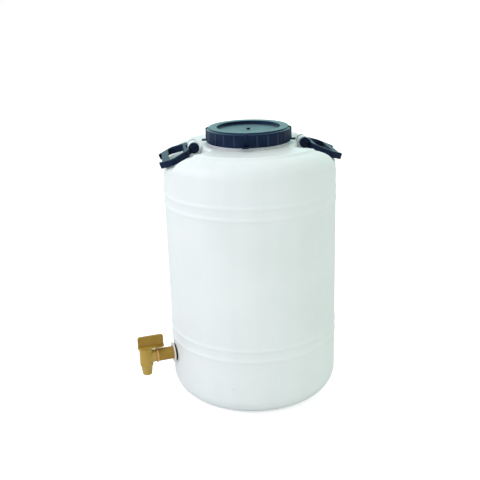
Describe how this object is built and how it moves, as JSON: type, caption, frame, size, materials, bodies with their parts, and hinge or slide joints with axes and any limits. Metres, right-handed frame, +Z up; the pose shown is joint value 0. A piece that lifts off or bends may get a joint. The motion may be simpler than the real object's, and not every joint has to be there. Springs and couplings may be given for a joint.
{
  "type": "drum with tap",
  "caption": "Round plastic storage drum with a wide screw lid, swing carrying handles hinged in shoulder recesses, and a quarter-turn barrel tap near its base.",
  "frame": {"origin": "centre of the flat base, where the drum stands", "axes": "+Z up along the drum's axis, X through the two handles, tap at 191.5 degrees from +X, seen from the side of -Y"},
  "size_m": [0.4566, 0.373, 0.594],
  "materials": {
    "natural_polyethylene": "blow-moulded natural polyethylene, satin, slightly translucent",
    "dark_polyethylene": "moulded, satin blue-black",
    "ochre_plastic": "moulded, smooth ochre",
    "black_rubber": "matt black",
    "white_plastic": "moulded, matt off-white"
  },
  "bodies": {
    "drum": {"drum_body": "natural_polyethylene", "right_handle_pin": "dark_polyethylene", "left_handle_pin": "dark_polyethylene", "right_handle_pin_cap": "dark_polyethylene", "left_handle_pin_cap": "dark_polyethylene", "tap_body": "ochre_plastic", "tap_outer_gasket": "black_rubber", "tap_outer_washer": "white_plastic", "tap_inner_gasket": "black_rubber", "tap_lock_nut": "ochre_plastic"},
    "lid_seal": {"lid_gasket": "black_rubber"},
    "lid": {"screw_lid": "dark_polyethylene"},
    "right_handle": {"right_handle": "dark_polyethylene"},
    "left_handle": {"left_handle": "dark_polyethylene"},
    "tap_lever": {"tap_lever_plug": "ochre_plastic", "plug_upper_o_ring": "black_rubber", "plug_lower_o_ring": "black_rubber"}
  },
  "joints": [
    {"name": "lid_lift", "type": "slide", "parent": "drum", "child": "lid_seal", "axis": [0, 0, 1], "range_m": [0, 0.0181]},
    {"name": "lid_turn", "type": "hinge", "parent": "lid_seal", "child": "lid", "pos_m": [0, 0, 0.594], "axis": [0, 0, 1], "range_deg": [0, 720]},
    {"name": "right_handle_swing", "type": "hinge", "parent": "drum", "child": "right_handle", "pos_m": [0.1175, 0, 0.5563], "axis": [0, -1, 0], "range_deg": [0, 115]},
    {"name": "left_handle_swing", "type": "hinge", "parent": "drum", "child": "left_handle", "pos_m": [-0.1175, 0, 0.5563], "axis": [0, 1, 0], "range_deg": [0, 115]},
    {"name": "tap_turn", "type": "hinge", "parent": "drum", "child": "tap_lever", "pos_m": [-0.24694, -0.05024, 0.1], "axis": [0, 0, 1], "range_deg": [0, 90]}
  ],
  "couplings": [
    {"joint": "lid_lift", "follows": "lid_turn", "m_per_rad": 0.0014324}
  ]
}
